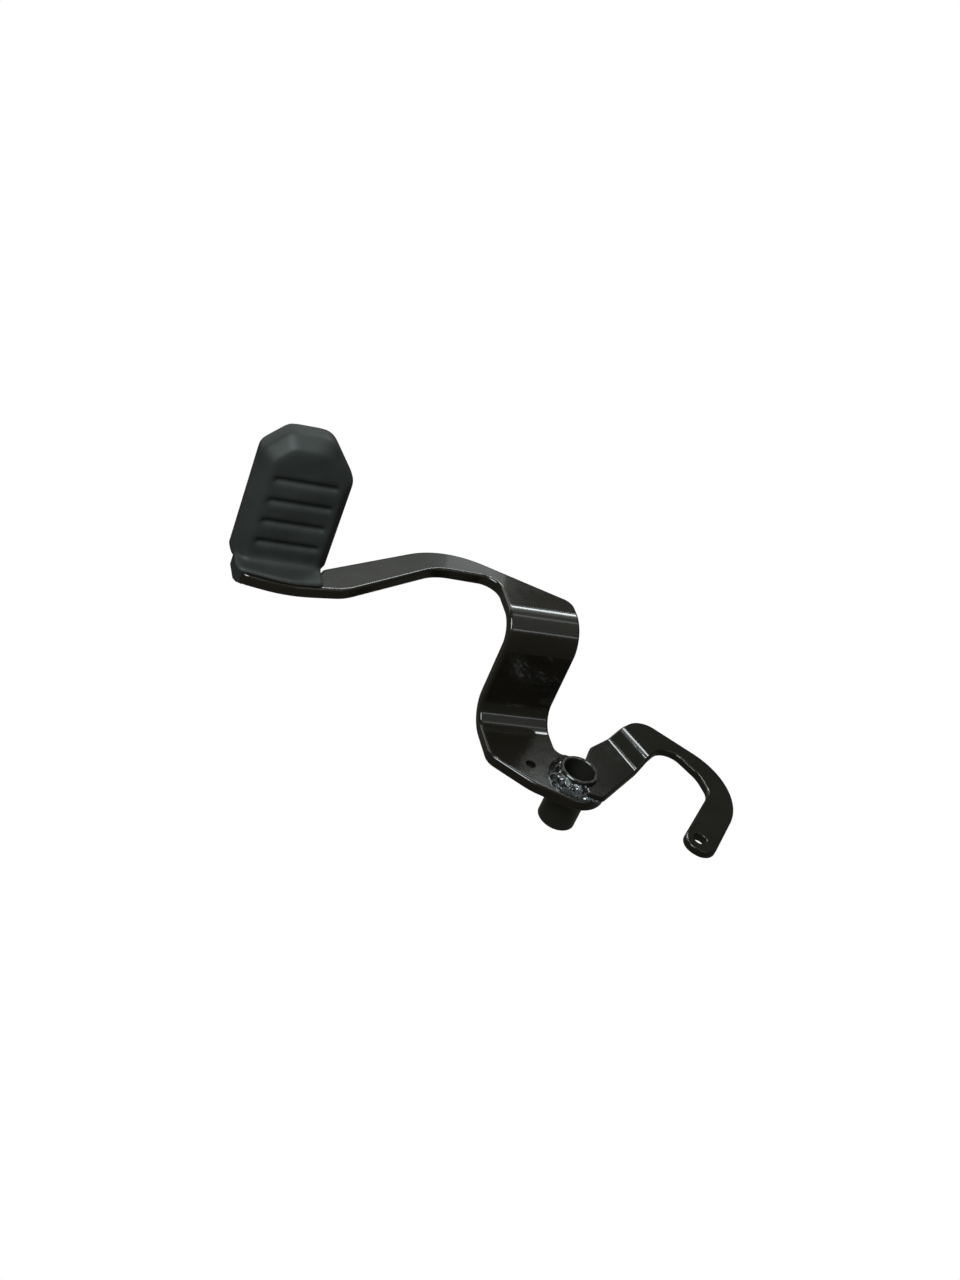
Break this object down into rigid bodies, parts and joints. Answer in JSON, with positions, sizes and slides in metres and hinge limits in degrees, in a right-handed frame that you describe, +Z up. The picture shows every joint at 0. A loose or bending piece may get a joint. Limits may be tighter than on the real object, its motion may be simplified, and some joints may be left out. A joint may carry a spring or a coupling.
{
  "type": "rear brake pedal",
  "caption": "Motorbike rear brake pedal: bent steel arm with a pivot tube, ribbed rubber foot pad and hooked rear lever with a rod hole.",
  "frame": {"origin": "on the pivot axis, in the outer face of the plate that the pivot tube passes through", "axes": "+X forward along the bike, +Y inboard along the pivot axis, +Z up with the pedal at rest, so the outer side of the bike is -Y"},
  "size_m": [0.2464, 0.1445, 0.1365],
  "materials": {
    "black_paint": "gloss",
    "weld_paint": "gloss, uneven",
    "rubber": "matte"
  },
  "bodies": {
    "root": {"pedal_arm": "black_paint", "rear_lever": "black_paint", "pivot_tube": "black_paint", "weld_bead": "weld_paint", "rubber_pad": "rubber"}
  },
  "joints": []
}
